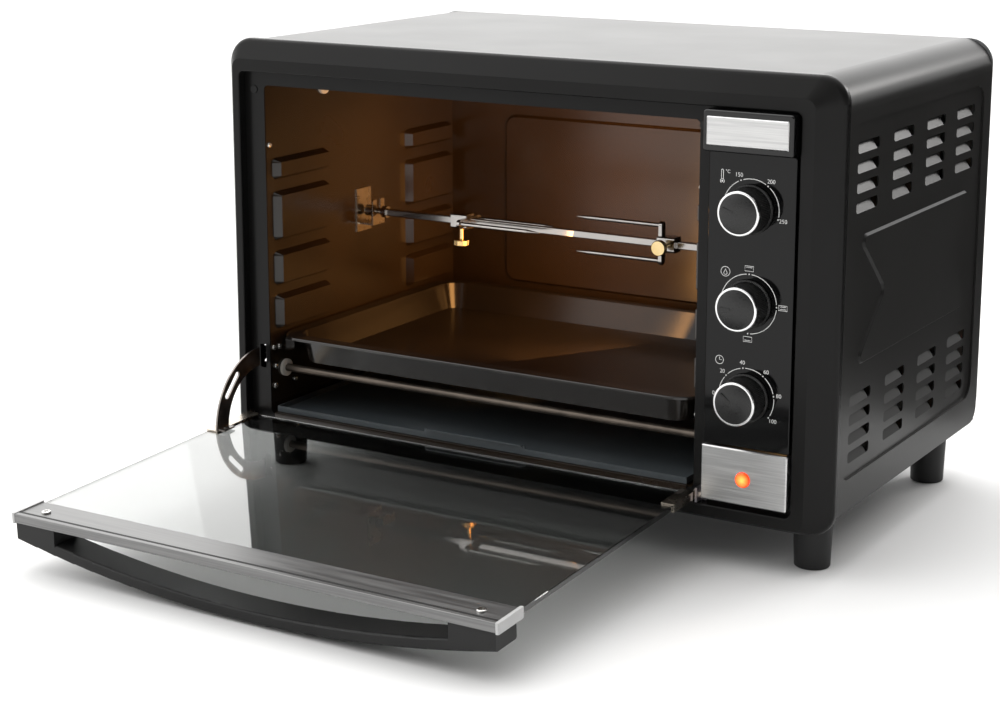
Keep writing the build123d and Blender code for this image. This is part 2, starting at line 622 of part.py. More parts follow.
PLATE = (171.0, 240.6, 17.5, 60.3)
PLATE_FRONT = -3.5
LENS_RADIUS = 6.0
with BuildPart() as lower_plate:
    with BuildSketch(facing_front(4)):
        panel(*PLATE, 1.2)
    extrude(amount=4 - PLATE_FRONT)
    chamfer(lower_plate.faces().sort_by(Axis.Y)[0].edges(), 0.9)
    with BuildSketch(facing_front(4)):
        panel(PLATE[0] + 1.5, PLATE[1] - 1.5, PLATE[2] + 1.5, PLATE[3] - 1.5, 0.8)
    extrude(amount=4 - PLATE_FRONT - 1.6, mode=Mode.SUBTRACT)
    round_bar(along_front(CONTROL_X, 5, LAMP_HEIGHT), LENS_RADIUS + 0.1, 12, Mode.SUBTRACT)
    for x in (PLATE[0] + 5, PLATE[1] - 5):
        slab((x - 1.5, x + 1.5), (PLATE_FRONT + 1.2, RECESS_DEPTH), (LAMP_HEIGHT - 4, LAMP_HEIGHT + 4))
lower_plate.part.label = "lower_plate"
export_step(lower_plate.part, "parts/lower_plate.step")

with BuildPart() as pilot_lens:
    round_bar(along_front(CONTROL_X, 3, LAMP_HEIGHT), LENS_RADIUS, 3 - PLATE_FRONT + 1.6)
    fillet(pilot_lens.faces().sort_by(Axis.Y)[0].edges(), 1.3)
    round_bar(along_front(CONTROL_X, 4.5, LAMP_HEIGHT), LENS_RADIUS + 2, 1.5)
    round_bar(along_front(CONTROL_X, 4.6, LAMP_HEIGHT), LENS_RADIUS - 1.6, 5, Mode.SUBTRACT)
pilot_lens.part.label = "pilot_lens"
export_step(pilot_lens.part, "parts/pilot_lens.step")

with BuildPart() as pilot_lamp:
    round_bar(along_front(CONTROL_X, 2.0, LAMP_HEIGHT), 2.6, 1.5)
    round_bar(along_front(CONTROL_X, 22, LAMP_HEIGHT), 3.8, 20)
    # flat holder that clips behind the recess floor
    holder_depths = (RECESS_DEPTH + 3, RECESS_DEPTH + 5)
    slab((CONTROL_X - 9, CONTROL_X + 9), holder_depths, (LAMP_HEIGHT - 8, LAMP_HEIGHT + 8))
pilot_lamp.part.label = "pilot_lamp"
export_step(pilot_lamp.part, "parts/pilot_lamp.step")

KNOB_RADIUS = 17.2
KNOB_FRONT = FASCIA_FRONT - 22.5
KNOB_REAR = FASCIA_FRONT - 0.8
SPINDLE_RADIUS = 3.0
controls = {
    "temperature": (KNOB_HEIGHTS[0], "thermostat", 165.0, (34, 26, 32)),
    "function": (KNOB_HEIGHTS[1], "function_switch", 180.0, (38, 30, 36)),
    "timer": (KNOB_HEIGHTS[2], "timer", 145.0, (46, 28, 44)),
}
for name, (z, device, pointer, size) in controls.items():
    knob_axis = along_front(CONTROL_X, KNOB_REAR, z)
    skirt = KNOB_REAR - KNOB_FRONT
    with BuildPart() as knob:
        # flared skirt, knurled body, face with a shallow dish
        with BuildSketch(Plane(origin=knob_axis.origin, x_dir=(1, 0, 0), z_dir=(0, 0, 1))):
            with BuildLine():
                Polyline(
                    (0, 0),
                    (KNOB_RADIUS + 1.2, 0),
                    (KNOB_RADIUS + 1.2, -1.8),
                    (KNOB_RADIUS, -2.6),
                    (KNOB_RADIUS - 1.0, -skirt + 2.2),
                    (KNOB_RADIUS - 2.4, -skirt + 2.2),
                    (KNOB_RADIUS - 2.4, -skirt + 0.4),
                )
                ThreePointArc((KNOB_RADIUS - 2.4, -skirt + 0.4), (7.5, -skirt - 0.9), (0, -skirt - 1.2))
                Line((0, -skirt - 1.2), (0, 0))
            make_face()
        revolve(axis=Axis(knob_axis.origin, (0, 1, 0)))
        with BuildSketch(knob_axis.offset(2.6)) as grooves:
            with PolarLocations(KNOB_RADIUS + 0.1, 60):
                Circle(0.55)
        extrude(grooves.sketch, amount=skirt - 4.9, mode=Mode.SUBTRACT)
        # raised pointer bar on the face
        with BuildSketch(knob_axis.offset(skirt - 1)) as bar:
            with PolarLocations(8.4, 1, start_angle=pointer):
                RectangleRounded(9.0, 1.5, 0.6)
        extrude(bar.sketch, amount=2.5)
        # blind D hole for the spindle
        with BuildSketch(knob_axis) as bore:
            Circle(SPINDLE_RADIUS + 0.02)
            with Locations((0, SPINDLE_RADIUS + 0.6)):
                Rectangle(8, 2.4, mode=Mode.SUBTRACT)
        extrude(bore.sketch, amount=13, mode=Mode.SUBTRACT)
    knob.part.label = f"{name}_knob"
    export_step(knob.part, f"parts/{name}_knob.step")

    with BuildPart() as ring:
        with BuildSketch(knob_axis.offset(skirt - 2.1)) as band:
            Circle(KNOB_RADIUS - 0.75)
            Circle(KNOB_RADIUS - 2.35, mode=Mode.SUBTRACT)
        extrude(band.sketch, amount=1.9)
        front_edges = ring.edges().group_by(Axis.Y)[0]
        fillet(front_edges.sort_by(SortBy.RADIUS)[-1], 0.7)
    ring.part.label = f"{name}_knob_ring"
    export_step(ring.part, f"parts/{name}_knob_ring.step")

    with BuildPart() as spindle:
        rear = RECESS_DEPTH + 16
        with BuildSketch(along_front(CONTROL_X, rear, z)) as shaft:
            Circle(SPINDLE_RADIUS)
        extrude(shaft.sketch, amount=rear - KNOB_REAR + 12.5)
        # flat that drives the knob
        flat = along_front(CONTROL_X, KNOB_REAR + 1, z)
        with BuildSketch(flat) as cut:
            with Locations((0, SPINDLE_RADIUS + 0.57)):
                Rectangle(8, 2.4)
        extrude(cut.sketch, amount=20, mode=Mode.SUBTRACT)
    spindle.part.label = f"{name}_spindle"
    export_step(spindle.part, f"parts/{name}_spindle.step")

    with BuildPart() as unit:
        width, deep, tall = size
        first = RECESS_DEPTH + 6
        across = (CONTROL_X - width / 2, CONTROL_X + width / 2)
        slab(across, (first, first + deep), (z - tall / 2, z + tall / 2))
        fillet(unit.edges().filter_by(Axis.Y), 3)
        slab((CONTROL_X - 31, CONTROL_X + 31), (first - 2, first), (z - 7, z + 7))
        # threaded bush and the spindle's bore
        round_bar(along_front(CONTROL_X, first - 1, z), 5.0, 5)
        round_bar(along_front(CONTROL_X, first + 12, z), SPINDLE_RADIUS + RUNNING, 20, Mode.SUBTRACT)
        # spade terminals at the rear
        for x in (-10, 0, 10):
            tab = (CONTROL_X + x - 3, CONTROL_X + x + 3)
            slab(tab, (first + deep - 1, first + deep + 8), (z - 9, z - 8.2))
    unit.part.label = device
    export_step(unit.part, f"parts/{device}.step")

# ---------------------------------------------------------------- fan and oven lamp
GRILLE_SIDE = CAVITY[1]
with BuildPart() as fan_grille:
    round_bar(along_x(GRILLE_SIDE - 5, FAN_DEPTH, FAN_HEIGHT), GRILLE_RADIUS, 5)
    fillet(fan_grille.faces().sort_by(Axis.X)[0].edges(), 3)
    round_bar(along_x(GRILLE_SIDE - 4, FAN_DEPTH, FAN_HEIGHT), GRILLE_RADIUS - 1.2, 5, Mode.SUBTRACT)
    with BuildSketch(along_x(GRILLE_SIDE - 6, FAN_DEPTH, FAN_HEIGHT)) as vents:
        Circle(2.6)
        for radius, count in ((9, 6), (18, 12), (27, 18), (35, 24)):
            with PolarLocations(radius, count):
                Circle(2.6)
    extrude(vents.sketch, amount=3, mode=Mode.SUBTRACT)
fan_grille.part.label = "fan_grille"
export_step(fan_grille.part, "parts/fan_grille.step")

with BuildPart() as fan_impeller:
    impeller = along_x(GRILLE_SIDE + 4, FAN_DEPTH, FAN_HEIGHT)
    round_bar(impeller, 32, 0.9)
    round_bar(impeller.offset(-2), 6, 8)
    with BuildSketch(impeller) as blades:
        with PolarLocations(22, 10):
            Rectangle(18, 1.0, rotation=35)
    extrude(blades.sketch, amount=9)
    round_bar(impeller.offset(5), 2.5, 20)
fan_impeller.part.label = "fan_impeller"
export_step(fan_impeller.part, "parts/fan_impeller.step")

with BuildPart() as fan_motor:
    housing = along_x(GRILLE_SIDE + 18, FAN_DEPTH, FAN_HEIGHT)
    with BuildSketch(housing) as stack:
        RectangleRounded(56, 46, 4)
    extrude(stack.sketch, amount=22)
    round_bar(housing.offset(20), 13, 12)
    # bracket feet back to the cavity wall
    for y in (-48, 48):
        strap = (FAN_DEPTH + y - 1, FAN_DEPTH + y + 1)
        slab((GRILLE_SIDE + 1, GRILLE_SIDE + 20), strap, (FAN_HEIGHT - 8, FAN_HEIGHT + 8))
    bridge = (FAN_DEPTH - 49, FAN_DEPTH + 49)
    slab((GRILLE_SIDE + 18, GRILLE_SIDE + 20), bridge, (FAN_HEIGHT - 8, FAN_HEIGHT + 8))
    round_bar(housing.offset(-1), 2.5 + RUNNING, 12, Mode.SUBTRACT)
fan_motor.part.label = "fan_motor"
export_step(fan_motor.part, "parts/fan_motor.step")

with BuildPart() as bulb_cover:
    cover = along_x(GRILLE_SIDE + 1, BULB_DEPTH, BULB_HEIGHT)
    round_bar(cover.offset(-1.0), BULB_HOLE + 5, -1.6)
    round_bar(cover.offset(-1.2), BULB_HOLE - 1, -8)
    fillet(bulb_cover.faces().sort_by(Axis.X)[0].edges(), 5)
    round_bar(cover, BULB_HOLE - 3, -7, Mode.SUBTRACT)
bulb_cover.part.label = "bulb_cover"
export_step(bulb_cover.part, "parts/bulb_cover.step")

with BuildPart() as oven_bulb:
    with BuildSketch(cover.offset(20)):
        Circle(8)
    extrude(amount=-12)
    with Locations(cover.offset(5).origin):
        Sphere(9)
    round_bar(cover.offset(18), 11, 12)
    bulb_strap = (BULB_DEPTH - 24, BULB_DEPTH + 24)
    slab((GRILLE_SIDE + 16, GRILLE_SIDE + 18), bulb_strap, (BULB_HEIGHT - 9, BULB_HEIGHT + 9))
oven_bulb.part.label = "oven_bulb"
export_step(oven_bulb.part, "parts/oven_bulb.step")

# ---------------------------------------------------------------- base, rear and feet
FOOT_X = 246.0
FOOT_DEPTHS = (38.0, 287.0)
BASE_FRONT = 19.0
with BuildPart() as base_plate:
    base_side = shell_width / 2 - 1.4
    slab((-base_side, base_side), (BASE_FRONT, BODY_DEPTH - 2), (SHELL_LOW, SHELL_LOW + SHEET))
    for x in (-shell_width / 2 + 1.4, shell_width / 2 - 2.4):
        slab((x, x + 1), (BASE_FRONT, BODY_DEPTH - 18), (SHELL_LOW, SHELL_LOW + 9))
    # vents under the cavity and relief below the stay arm
    with BuildSketch(Plane.XY.offset(up(SHELL_LOW - 1))) as openings:
        with GridLocations(46, 60, 8, 3):
            SlotOverall(30, 4)
        for x in (-FOOT_X, FOOT_X):
            for y in FOOT_DEPTHS:
                with Locations((x, back(y))):
                    Circle(2.2)
        with Locations((-251.3, back(48))):
            Rectangle(5, 40)
    extrude(openings.sketch, amount=3, mode=Mode.SUBTRACT)
base_plate.part.label = "base_plate"
export_step(base_plate.part, "parts/base_plate.step")

FOOT_TOP = FOOT_CLEAR + SHELL_LOW
with BuildPart() as feet:
    for x in (-FOOT_X, FOOT_X):
        for y in FOOT_DEPTHS:
            with BuildSketch(Plane(origin=(x, back(y), 0), x_dir=(1, 0, 0), z_dir=(0, 0, 1))) as sole:
                Circle(13.8)
            with BuildSketch(Plane(origin=(x, back(y), FOOT_TOP), x_dir=(1, 0, 0), z_dir=(0, 0, 1))) as head:
                Circle(15.6)
            loft([sole.sketch.face(), head.sketch.face()])
    fillet(feet.edges().group_by(Axis.Z)[0], 1.2)
    for x in (-FOOT_X, FOOT_X):
        for y in FOOT_DEPTHS:
            sole_plane = Plane(origin=(x, back(y), 0), x_dir=(1, 0, 0), z_dir=(0, 0, 1))
            round_bar(sole_plane, 2.2, FOOT_TOP, Mode.SUBTRACT)
            round_bar(sole_plane, 6.0, 30, Mode.SUBTRACT)
feet.part.label = "feet"
export_step(feet.part, "parts/feet.step")

GLAND = (-205.0, 52.0)
REAR_SCREWS = [(-262, 30), (262, 30), (-262, 320), (262, 320), (0, 331), (-262, 175), (262, 175)]
with BuildPart() as rear_panel:
    with BuildSketch(facing_front(BODY_DEPTH)):
        panel(-shell_width / 2, shell_width / 2, SHELL_LOW, shell_top, 20)
    extrude(amount=SHEET)
    # raised middle field with rows of vents
    with BuildSketch(facing_front(BODY_DEPTH - SHEET)):
        panel(-235, 235, 36, 312, 14)
    extrude(amount=3, taper=30)
    with BuildSketch(facing_front(BODY_DEPTH)):
        panel(-234, 234, 37, 311, 13)
    extrude(amount=3, taper=30, mode=Mode.SUBTRACT)
    with BuildSketch(facing_front(BODY_DEPTH)) as vents:
        for z in (270, 255, 240, 105, 90, 75):
            with Locations((0, up(z))):
                with GridLocations(50, 1, 7, 1):
                    SlotOverall(36, 5)
        with Locations((GLAND[0], up(GLAND[1]))):
            Circle(8.05)
        for x, z in REAR_SCREWS:
            with Locations((x, up(z))):
                Circle(1.7)
    extrude(vents.sketch, amount=8, mode=Mode.SUBTRACT)
rear_panel.part.label = "rear_panel"
export_step(rear_panel.part, "parts/rear_panel.step")

with BuildPart() as housing_screws:
    for x, z in REAR_SCREWS:
        seat = Plane(origin=(x, back(BODY_DEPTH), up(z)), x_dir=(1, 0, 0), z_dir=(0, 1, 0))
        add(pan_head(seat, 3.2, 2.2, 1.6, 6))
    for x in (-FOOT_X, FOOT_X):
        for y in FOOT_DEPTHS:
            seat = Plane(origin=(x, back(y), 30), x_dir=(1, 0, 0), z_dir=(0, 0, -1))
            add(pan_head(seat, 4.2, 3.0, 2.0, 21))
    for x, side in ((CAVITY[0], 1), (CAVITY[1], -1)):
        for y, z in WALL_SCREWS:
            seat = Plane(origin=(x, back(y), up(z)), x_dir=(0, 1, 0), z_dir=(side, 0, 0))
            add(pan_head(seat, 2.6, 2.2, 1.5, 4))
housing_screws.part.label = "housing_screws"
export_step(housing_screws.part, "parts/housing_screws.step")

with BuildPart() as cord_gland:
    gland_point = (GLAND[0], back(BODY_DEPTH - 4), up(GLAND[1]))
    mouth_plane = Plane(origin=gland_point, x_dir=(1, 0, 0), z_dir=(0, 1, 0))
    round_bar(mouth_plane.offset(-3), 10.5, 3)
    round_bar(mouth_plane.offset(-1), 8.0, 9)
    round_bar(mouth_plane.offset(1.05), 10.0, 7)
    fillet(cord_gland.faces().sort_by(Axis.Y)[-1].edges(), 2)
    round_bar(mouth_plane.offset(-6), 3.6, 20, Mode.SUBTRACT)
cord_gland.part.label = "cord_gland"
export_step(cord_gland.part, "parts/cord_gland.step")

BUMPERS = ((-254.0, 299.0), (162.0, 299.0))
with BuildPart() as door_bumpers:
    for x, z in BUMPERS:
        round_bar(along_front(x, RECESS_DEPTH, z), 3.4, 1.0)
    fillet(door_bumpers.edges().group_by(Axis.Y)[0], 0.5)
door_bumpers.part.label = "door_bumpers"
export_step(door_bumpers.part, "parts/door_bumpers.step")

# ---------------------------------------------------------------- door
with BuildPart() as door_glass:
    door_block(GLASS, (GLASS_START, GLASS_END), (-GLASS_T / 2, GLASS_T / 2), corner=3)
    chamfer(door_glass.edges().filter_by(lambda e: e.length > 60), 0.4)
door_glass.part.label = "door_glass"
export_step(door_glass.part, "parts/door_glass.step")

TRIM_START = 258.0
TRIM_END = 289.0
TRIM_T = 1.3
half = GLASS_T / 2
trim_x = (GLASS[0] + 1.0, GLASS[1] - 1.0)
door_middle = (GLASS[0] + GLASS[1]) / 2
HANDLE_POST = 37.0
HANDLE_SCREW_OUT = 275.0
handle_screw_places = [door_middle + x * (HANDLE_HALF - HANDLE_POST / 2) for x in (-1, 1)]
with BuildPart() as trim_rail:
    # U-section round the glass's outer edge, with a step that holds the seal
    door_block(trim_x, (TRIM_START, TRIM_END), (half + 0.05, half + TRIM_T))
    door_block(trim_x, (TRIM_START + 14, TRIM_END), (-half - TRIM_T, -half - 0.05))
    door_block(trim_x, (GLASS_END + 0.1, TRIM_END), (-half - TRIM_T, half + TRIM_T))
    door_block(trim_x, (TRIM_END - 6.4, TRIM_END - 3.4), (half + 0.35, half + TRIM_T), Mode.SUBTRACT)
    # small outward bead along the outer lip
    door_block(trim_x, (TRIM_END - 3.4, TRIM_END), (half, half + TRIM_T + 0.7))
    fillet(trim_rail.edges().filter_by(Axis.X).sort_by(Axis.Y)[:2], 0.6)
    for x in handle_screw_places:
        hole = Plane(
            origin=DOOR.from_local_coords((x, -HANDLE_SCREW_OUT, half)),
            x_dir=(1, 0, 0),
            z_dir=DOOR.z_dir,
        )
        round_bar(hole, 2.0, 3, Mode.SUBTRACT)
trim_rail.part.label = "trim_rail"
export_step(trim_rail.part, "parts/trim_rail.step")

with BuildPart() as rail_seal:
    door_block(trim_x, (TRIM_END - 6.3, TRIM_END - 3.5), (half + 0.4, half + TRIM_T + 0.5))
rail_seal.part.label = "rail_seal"
export_step(rail_seal.part, "parts/rail_seal.step")

with BuildPart() as rail_end_caps:
    for x in ((GLASS[0] - 1.8, trim_x[0] - 0.05), (trim_x[1] + 0.05, GLASS[1] + 1.8)):
        thickness = (-half - TRIM_T - 0.4, half + TRIM_T + 1.0)
        door_block(x, (TRIM_START - 1, TRIM_END + 0.5), thickness, corner=0.8)
    # cut where the glass corner passes into the cap
    glass_seat = (GLASS[0] - 0.1, GLASS[1] + 0.1)
    door_block(glass_seat, (TRIM_START - 5, GLASS_END + 0.1), (-half - 0.05, half + 0.05), Mode.SUBTRACT)
rail_end_caps.part.label = "rail_end_caps"
export_step(rail_end_caps.part, "parts/rail_end_caps.step")

HANDLE_SEAT = -half - TRIM_T - 0.05
HANDLE_END = -17.0
HANDLE_BAR = 8.8
HANDLE_FROM = 262.0
HANDLE_TO = 288.0
sagitta = HANDLE_DROP + HANDLE_END
bow_radius = (HANDLE_HALF**2 + sagitta**2) / (2 * sagitta)


def bow(x, inset=0.0):
    """Depth of the handle's outer face at x from its middle, or of a face inset from it."""
    centre = bow_radius - HANDLE_DROP
    return centre - math.sqrt((bow_radius - inset) ** 2 - x**2)


with BuildPart() as handle:
    grip_plane = door_edge_plane(HANDLE_FROM)
    with BuildSketch(grip_plane):
        with BuildLine():
            middle, end, window = door_middle, HANDLE_HALF, HANDLE_HALF - HANDLE_POST
            Line((middle - end, HANDLE_SEAT), (middle - end, bow(end)))
            ThreePointArc((middle - end, bow(end)), (middle, bow(0)), (middle + end, bow(end)))
            Line((middle + end, bow(end)), (middle + end, HANDLE_SEAT))
            Line((middle + end, HANDLE_SEAT), (middle + window, HANDLE_SEAT))
            Line((middle + window, HANDLE_SEAT), (middle + window, bow(window, HANDLE_BAR)))
            ThreePointArc(
                (middle + window, bow(window, HANDLE_BAR)),
                (middle, bow(0, HANDLE_BAR)),
                (middle - window, bow(window, HANDLE_BAR)),
            )
            Line((middle - window, bow(window, HANDLE_BAR)), (middle - window, HANDLE_SEAT))
            Line((middle - window, HANDLE_SEAT), (middle - end, HANDLE_SEAT))
        make_face()
    extrude(amount=HANDLE_TO - HANDLE_FROM)
    long_edges = handle.edges().filter_by(GeomType.CIRCLE)
    fillet(long_edges, 1.8)
handle.part.label = "handle"
export_step(handle.part, "parts/handle.step")

CLIP_WALL = 1.2
CLIP_REACH = {"left": 60.0, "right": 37.0}


def hinge_clip(hand):
    """A folded channel that grips the glass's lower corner and turns on the hinge pin."""
    outer = GLASS[0] - 0.2 if hand == "left" else GLASS[1] + 0.2
    side = -1 if hand == "left" else 1
    reach = CLIP_REACH[hand]
    web = sorted((outer, outer + side * CLIP_WALL))
    flange = sorted((outer + side * CLIP_WALL, outer - side * 10))
    with BuildPart() as clip:
        door_block(web, (0, reach), (-half - CLIP_WALL, half + CLIP_WALL))
        door_block(flange, (GLASS_START - 0.2, reach), (half + 0.05, half + CLIP_WALL))
        door_block(flange, (GLASS_START - 0.2, reach), (-half - CLIP_WALL, -half - 0.05))
        # barrel on the pin
        barrel = Plane(origin=(web[0], back(HINGE_DEPTH), up(HINGE_HEIGHT)), x_dir=(0, 1, 0), z_dir=(1, 0, 0))
        round_bar(barrel, 3.9, CLIP_WALL)
        round_bar(barrel.offset(-1), PIN_RADIUS + RUNNING, 4, Mode.SUBTRACT)
    return clip.part


with BuildPart() as left_hinge_clip:
    add(hinge_clip("left"))
left_hinge_clip.part.label = "left_hinge_clip"
export_step(left_hinge_clip.part, "parts/left_hinge_clip.step")

with BuildPart() as right_hinge_clip:
    add(hinge_clip("right"))
right_hinge_clip.part.label = "right_hinge_clip"
export_step(right_hinge_clip.part, "parts/right_hinge_clip.step")

ARM_X = (-252.4, -250.8)
ARM_OUTER = 60.0
ARM_INNER = 44.5
with BuildPart() as stay_arm:
    # a sector plate about the hinge axis, stamped with a curved window
    sector = door_axis_plane(ARM_X[1])
    with BuildSketch(sector) as plate:
        Circle(ARM_OUTER)
        Circle(ARM_INNER, mode=Mode.SUBTRACT)
        Polygon((0, 3.3), (-140, 3.3), (-140, -140), (140, -140), (140, 3.3), align=None, mode=Mode.SUBTRACT)
        tail = math.radians(92)
        Polygon(
            (0, 0),
            (140 * math.cos(tail), 140 * math.sin(tail)),
            (-140, 140),
            (-140, 0),
            align=None,
            mode=Mode.SUBTRACT,
        )
    extrude(plate.sketch, amount=ARM_X[1] - ARM_X[0])
    with BuildSketch(sector) as window:
        with PolarLocations(52.2, 1, start_angle=45):
            SlotOverall(26, 5, rotation=90)
    extrude(window.sketch, amount=ARM_X[1] - ARM_X[0], mode=Mode.SUBTRACT)
    # foot folded onto the clip
    foot_level = (half + CLIP_WALL, half + CLIP_WALL + 1.4)
    door_block((ARM_X[0], ARM_X[1] + 7), (ARM_INNER + 1, ARM_OUTER - 1), foot_level)
stay_arm.part.label = "stay_arm"
export_step(stay_arm.part, "parts/stay_arm.step")

with BuildPart() as door_fasteners:
    for x in handle_screw_places:
        seat = Plane(
            origin=DOOR.from_local_coords((x, -HANDLE_SCREW_OUT, half + TRIM_T + 0.02)),
            x_dir=(1, 0, 0),
            z_dir=DOOR.z_dir,
        )
        add(pan_head(seat, 3.6, 1.6, 1.9, 1.2))
    # rivet through the stay arm's foot
    seat = Plane(
        origin=DOOR.from_local_coords((ARM_X[1] + 3.4, -52, half + CLIP_WALL + 1.4)),
        x_dir=(1, 0, 0),
        z_dir=DOOR.z_dir,
    )
    with BuildSketch(seat) as head:
        Circle(2.6)
    extrude(head.sketch, amount=0.8)
door_fasteners.part.label = "door_fasteners"
export_step(door_fasteners.part, "parts/door_fasteners.step")

with BuildPart() as hinge_pins:
    round_bar(along_x(-268.9, HINGE_DEPTH, HINGE_HEIGHT), PIN_RADIUS, 8.6)
    round_bar(along_x(GLASS[1] + 0.3, HINGE_DEPTH, HINGE_HEIGHT), PIN_RADIUS, 5.7)
hinge_pins.part.label = "hinge_pins"
export_step(hinge_pins.part, "parts/hinge_pins.step")

with BuildPart() as right_hinge_bracket:
    slab((GLASS[1] + 2.2, GLASS[1] + 4.0), (-1, RECESS_DEPTH), (12.6, 24))
    slab((GLASS[1] + 2.2, GLASS[1] + 7.6), (RECESS_DEPTH - 1.2, RECESS_DEPTH), (12.6, 24))
    round_bar(along_x(GLASS[1] + 1, HINGE_DEPTH, HINGE_HEIGHT), PIN_RADIUS, 5, Mode.SUBTRACT)
right_hinge_bracket.part.label = "right_hinge_bracket"
export_step(right_hinge_bracket.part, "parts/right_hinge_bracket.step")
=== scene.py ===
import math

import bmesh
import bpy
from mathutils import Matrix, Vector


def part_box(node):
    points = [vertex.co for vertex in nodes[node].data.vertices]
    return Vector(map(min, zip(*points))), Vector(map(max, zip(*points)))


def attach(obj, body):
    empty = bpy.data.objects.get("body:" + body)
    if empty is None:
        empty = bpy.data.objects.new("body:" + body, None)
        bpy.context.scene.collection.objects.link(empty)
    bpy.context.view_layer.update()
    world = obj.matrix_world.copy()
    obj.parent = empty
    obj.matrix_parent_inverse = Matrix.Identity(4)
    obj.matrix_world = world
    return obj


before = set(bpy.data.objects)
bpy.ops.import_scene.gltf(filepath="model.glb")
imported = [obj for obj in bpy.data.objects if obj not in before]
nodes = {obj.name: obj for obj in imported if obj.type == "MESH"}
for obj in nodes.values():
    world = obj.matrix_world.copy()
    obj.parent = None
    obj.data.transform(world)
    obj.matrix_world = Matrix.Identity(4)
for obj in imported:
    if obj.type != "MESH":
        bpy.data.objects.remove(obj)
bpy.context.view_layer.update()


# ---------------------------------------------------------------- materials
TONE_EDGES = (0.35, 0.65)  # noise values between which the first tone turns into the second
NOISE_RANGE = (0.3, 0.7)  # most of a noise pattern lies in here


def principled(name, colour, roughness, metallic=0.0, specular=0.5):
    """A material with one Principled shader; returns it with its node tree and shader."""
    mat = bpy.data.materials.new(name)
    mat.use_nodes = True
    shader = mat.node_tree.nodes["Principled BSDF"]
    shader.inputs["Base Color"].default_value = (*colour, 1)
    shader.inputs["Roughness"].default_value = roughness
    shader.inputs["Metallic"].default_value = metallic
    shader.inputs["Specular IOR Level"].default_value = specular
    mat.diffuse_color = (*colour, 1)
    return mat, mat.node_tree, shader


def noise(tree, scale, detail=2.0, stretch=(1, 1, 1)):
    """A noise pattern fixed to the object, with an optional stretch along each axis."""
    place = tree.nodes.new("ShaderNodeTexCoord")
    mapping = tree.nodes.new("ShaderNodeMapping")
    mapping.inputs["Scale"].default_value = stretch
    pattern = tree.nodes.new("ShaderNodeTexNoise")
    pattern.inputs["Scale"].default_value = scale
    pattern.inputs["Detail"].default_value = detail
    tree.links.new(place.outputs["Object"], mapping.inputs["Vector"])
    tree.links.new(mapping.outputs["Vector"], pattern.inputs["Vector"])
    return pattern.outputs["Fac"]


def spread(tree, value, low, high):
    """Spreads a noise value over a range."""
    node = tree.nodes.new("ShaderNodeMapRange")
    node.inputs["From Min"].default_value, node.inputs["From Max"].default_value = NOISE_RANGE
    node.inputs["To Min"].default_value = low
    node.inputs["To Max"].default_value = high
    tree.links.new(value, node.inputs["Value"])
    return node.outputs["Result"]


def two_tone(tree, shader, value, first, second):
    """Base colour that wanders between two tones."""
    ramp = tree.nodes.new("ShaderNodeValToRGB")
    for stop, edge, tone in zip(ramp.color_ramp.elements, TONE_EDGES, (first, second)):
        stop.position = edge
        stop.color = (*tone, 1)
    tree.links.new(value, ramp.inputs["Fac"])
    tree.links.new(ramp.outputs["Color"], shader.inputs["Base Color"])


def relief(tree, shader, value, depth, strength=1.0):
    """A fine bump; depth is in metres."""
    bump = tree.nodes.new("ShaderNodeBump")
    bump.inputs["Distance"].default_value = depth
    bump.inputs["Strength"].default_value = strength
    tree.links.new(value, bump.inputs["Height"])
    tree.links.new(bump.outputs["Normal"], shader.inputs["Normal"])


def finish_of(name, first, second, roughness, metallic=0.0, specular=0.5,
              grain=900.0, depth=0.00002, blotch=14.0, swing=0.05, stretch=(1, 1, 1)):
    """A finished surface: two close tones, roughness that wanders by swing, and a fine grain.

    grain and blotch are noise scales per metre, and depth is the grain's height in metres.
    """
    mat, tree, shader = principled(name, first, roughness, metallic, specular)
    wander = noise(tree, blotch, 3, stretch)
    two_tone(tree, shader, wander, first, second)
    uneven = spread(tree, wander, roughness - swing, roughness + swing)
    tree.links.new(uneven, shader.inputs["Roughness"])
    relief(tree, shader, noise(tree, grain, 2, stretch), depth)
    return mat


BRUSH_DEPTH = 0.000012
BRUSH_STRETCH = 0.02  # noise scale along the brushing, against 1 across it


def brushed(name, first, second, roughness, along, lines=2600.0):
    """Brushed metal with its lines along one axis: 0 is X, 2 is Z."""
    stretch = [1.0, 1.0, 1.0]
    stretch[along] = BRUSH_STRETCH
    return finish_of(name, first, second, roughness, metallic=1.0, grain=lines,
                     depth=BRUSH_DEPTH, blotch=lines / 3, swing=0.06, stretch=stretch)


paint = finish_of("satin_black_paint", (0.017, 0.0165, 0.016), (0.019, 0.0185, 0.018), 0.29,
                  specular=0.14, grain=1500, depth=0.000008, swing=0.012)
frame_paint = finish_of("satin_black_frame", (0.0075, 0.0073, 0.0071), (0.009, 0.0088, 0.0086), 0.26,
                        specular=0.15, grain=1500, depth=0.000008, swing=0.012)
enamel = finish_of("black_enamel", (0.015, 0.0095, 0.0055), (0.020, 0.0125, 0.007), 0.24,
                   specular=0.5, grain=260, depth=0.00003, blotch=9, swing=0.04)
tray_enamel = finish_of("tray_enamel", (0.010, 0.008, 0.007), (0.014, 0.011, 0.009), 0.17,
                        specular=0.6, grain=300, depth=0.00002, blotch=11)
crumb_enamel = finish_of("crumb_tray_coating", (0.055, 0.066, 0.073), (0.072, 0.082, 0.088), 0.33,
                         specular=0.5, grain=700, depth=0.00002)
fascia_gloss = finish_of("gloss_black_fascia", (0.0016, 0.0016, 0.0017), (0.0022, 0.0022, 0.0024), 0.07,
                         specular=0.26, grain=60, depth=0.000004, swing=0.02)
block_gloss = finish_of("gloss_black_block", (0.004, 0.004, 0.0042), (0.006, 0.006, 0.0062), 0.14,
                        specular=0.45, grain=400, depth=0.00001, swing=0.03)
